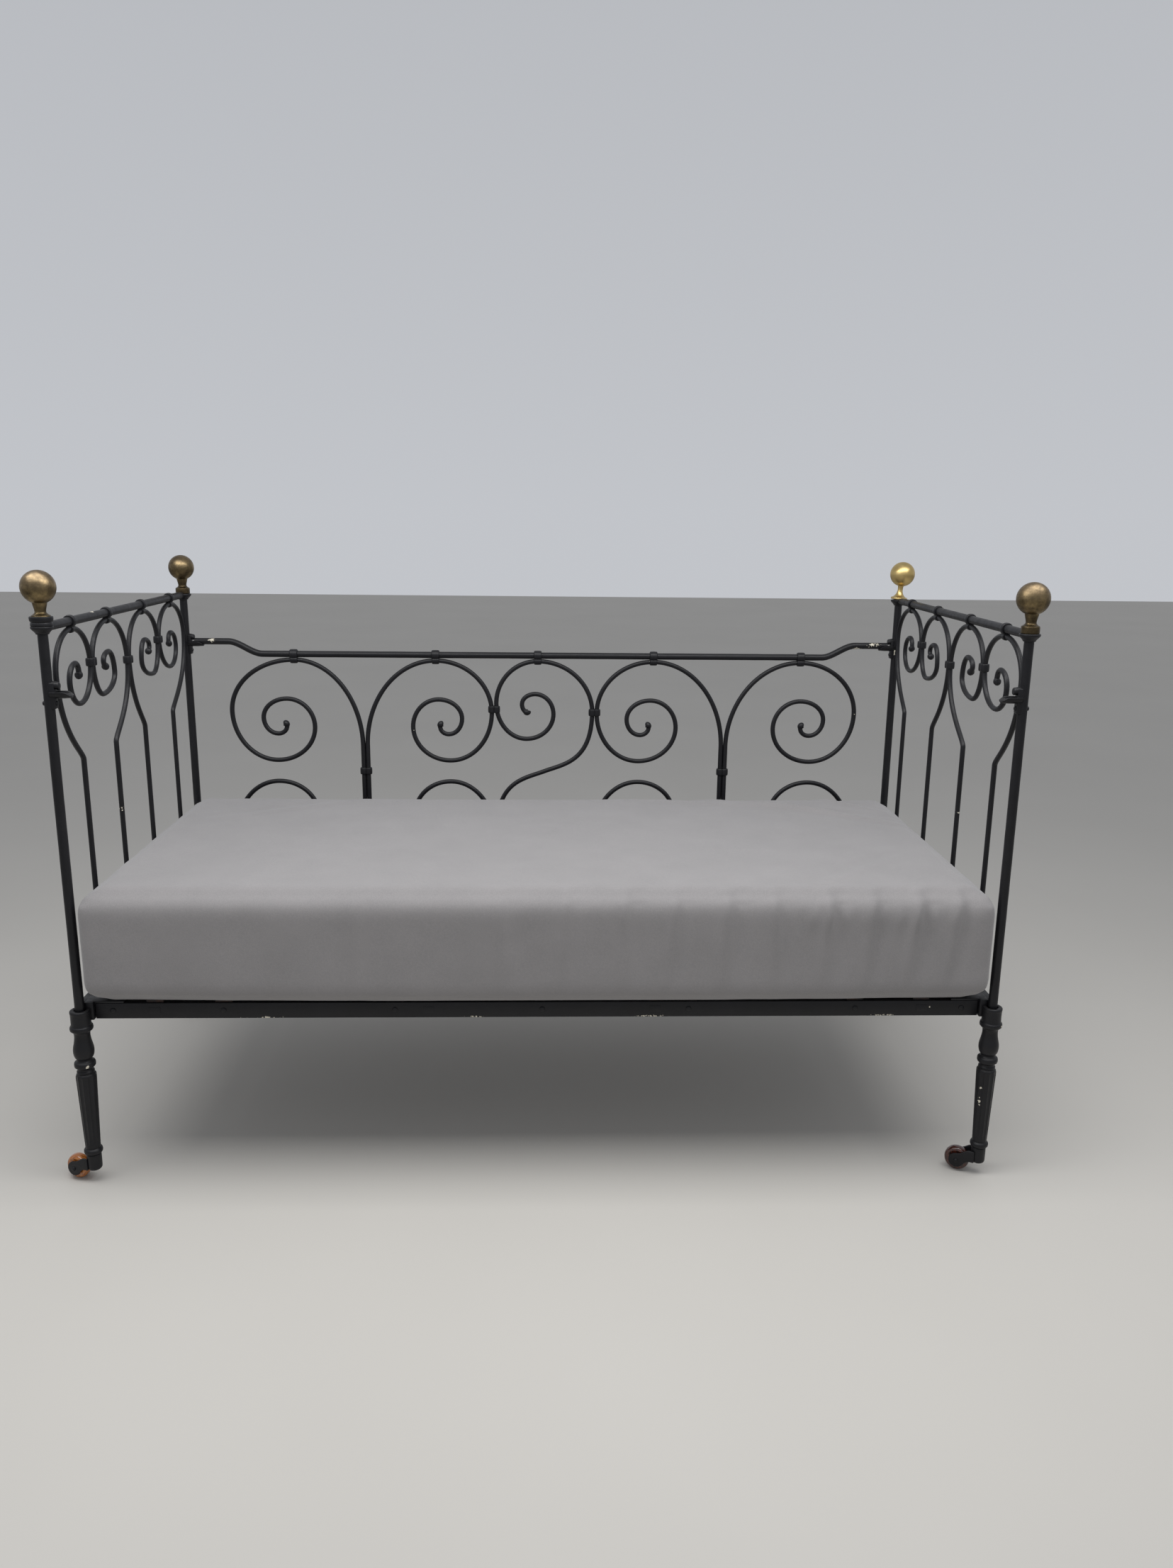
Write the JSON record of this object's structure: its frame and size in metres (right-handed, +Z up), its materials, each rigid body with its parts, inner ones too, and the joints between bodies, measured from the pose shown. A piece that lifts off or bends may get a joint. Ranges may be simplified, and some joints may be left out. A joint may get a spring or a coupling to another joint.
{
  "type": "daybed",
  "caption": "Scrolled wrought-iron daybed on castors: lift-out back panel, slatted base, brass ball finials and a padded mattress.",
  "frame": {"origin": "on the floor under the centre of the bed's outline", "axes": "+X along the bed to the right-hand end, +Y to the scrolled back panel, +Z up; the open front faces -Y"},
  "size_m": [1.4798, 0.6756, 0.9311],
  "materials": {
    "black_iron": "satin",
    "black_cast_iron": "satin",
    "aged_brass": "satin",
    "polished_brass": "polished",
    "turned_wood": "satin",
    "mattress_cover": "matte"
  },
  "bodies": {
    "root": {"post_front_left": "black_iron", "finial_front_left": "aged_brass", "leg_front_left": "black_cast_iron", "hook_front_left": "black_cast_iron", "post_front_right": "black_iron", "finial_front_right": "aged_brass", "leg_front_right": "black_cast_iron", "hook_front_right": "black_cast_iron", "post_back_left": "black_iron", "finial_back_left": "aged_brass", "leg_back_left": "black_cast_iron", "hook_back_left": "black_cast_iron", "post_back_right": "black_iron", "finial_back_right": "polished_brass", "leg_back_right": "black_cast_iron", "hook_back_right": "black_cast_iron", "end_top_rail_left": "black_iron", "end_scroll_left_outer_front": "black_iron", "end_scroll_left_inner_front": "black_iron", "end_scroll_left_inner_back": "black_iron", "end_scroll_left_outer_back": "black_iron", "end_tie_left_front": "black_iron", "end_tie_left_middle": "black_iron", "end_tie_left_back": "black_iron", "end_top_rail_right": "black_iron", "end_scroll_right_outer_front": "black_iron", "end_scroll_right_inner_front": "black_iron", "end_scroll_right_inner_back": "black_iron", "end_scroll_right_outer_back": "black_iron", "end_tie_right_front": "black_iron", "end_tie_right_middle": "black_iron", "end_tie_right_back": "black_iron", "finial_cup_front_left": "black_iron", "base_rail_front": "black_iron", "base_rail_back": "black_iron", "base_rail_left": "black_iron", "base_rail_right": "black_iron", "slat_lattice": "black_iron", "mattress": "mattress_cover"},
    "back_panel": {"back_top_rail": "black_iron", "back_bottom_rail": "black_iron", "back_scroll_outer_left": "black_iron", "back_scroll_inner_left": "black_iron", "back_scroll_centre": "black_iron", "back_scroll_inner_right": "black_iron", "back_scroll_outer_right": "black_iron", "back_tie_pair_left": "black_iron", "back_tie_pair_right": "black_iron", "back_tie_upper_left": "black_iron", "back_tie_upper_right": "black_iron", "back_tie_lower_left": "black_iron", "back_tie_lower_right": "black_iron"},
    "castor_front_left": {"castor_fork_front_left": "black_cast_iron"},
    "wheel_front_left": {"castor_wheel_front_left": "turned_wood"},
    "castor_front_right": {"castor_fork_front_right": "black_cast_iron"},
    "wheel_front_right": {"castor_wheel_front_right": "turned_wood"},
    "castor_back_left": {"castor_fork_back_left": "black_cast_iron"},
    "wheel_back_left": {"castor_wheel_back_left": "turned_wood"},
    "castor_back_right": {"castor_fork_back_right": "black_cast_iron"},
    "wheel_back_right": {"castor_wheel_back_right": "turned_wood"}
  },
  "joints": [
    {"name": "back_panel_lift", "type": "slide", "parent": "root", "child": "back_panel", "axis": [0, 0, 1], "range_m": [0, 0.1]},
    {"name": "castor_swivel_front_left", "type": "hinge", "parent": "root", "child": "castor_front_left", "pos_m": [-0.69, -0.314, 0.0475], "axis": [0, 0, 1], "continuous": true},
    {"name": "wheel_roll_front_left", "type": "hinge", "parent": "castor_front_left", "child": "wheel_front_left", "pos_m": [-0.71879, -0.3025, 0.01912], "axis": [-0.3709, -0.9287, 0], "continuous": true},
    {"name": "castor_swivel_front_right", "type": "hinge", "parent": "root", "child": "castor_front_right", "pos_m": [0.69, -0.314, 0.0475], "axis": [0, 0, 1], "continuous": true},
    {"name": "wheel_roll_front_right", "type": "hinge", "parent": "castor_front_right", "child": "wheel_front_right", "pos_m": [0.6628, -0.29914, 0.01912], "axis": [-0.4794, -0.8776, 0], "continuous": true},
    {"name": "castor_swivel_back_left", "type": "hinge", "parent": "root", "child": "castor_back_left", "pos_m": [-0.69, 0.314, 0.0475], "axis": [0, 0, 1], "continuous": true},
    {"name": "wheel_roll_back_left", "type": "hinge", "parent": "castor_back_left", "child": "wheel_back_left", "pos_m": [-0.71962, 0.32316, 0.01912], "axis": [-0.2955, -0.9553, 0], "continuous": true},
    {"name": "castor_swivel_back_right", "type": "hinge", "parent": "root", "child": "castor_back_right", "pos_m": [0.69, 0.314, 0.0475], "axis": [0, 0, 1], "continuous": true},
    {"name": "wheel_roll_back_right", "type": "hinge", "parent": "castor_back_right", "child": "wheel_back_right", "pos_m": [0.7209, 0.31648, 0.01912], "axis": [-0.0799, 0.9968, 0], "continuous": true}
  ]
}
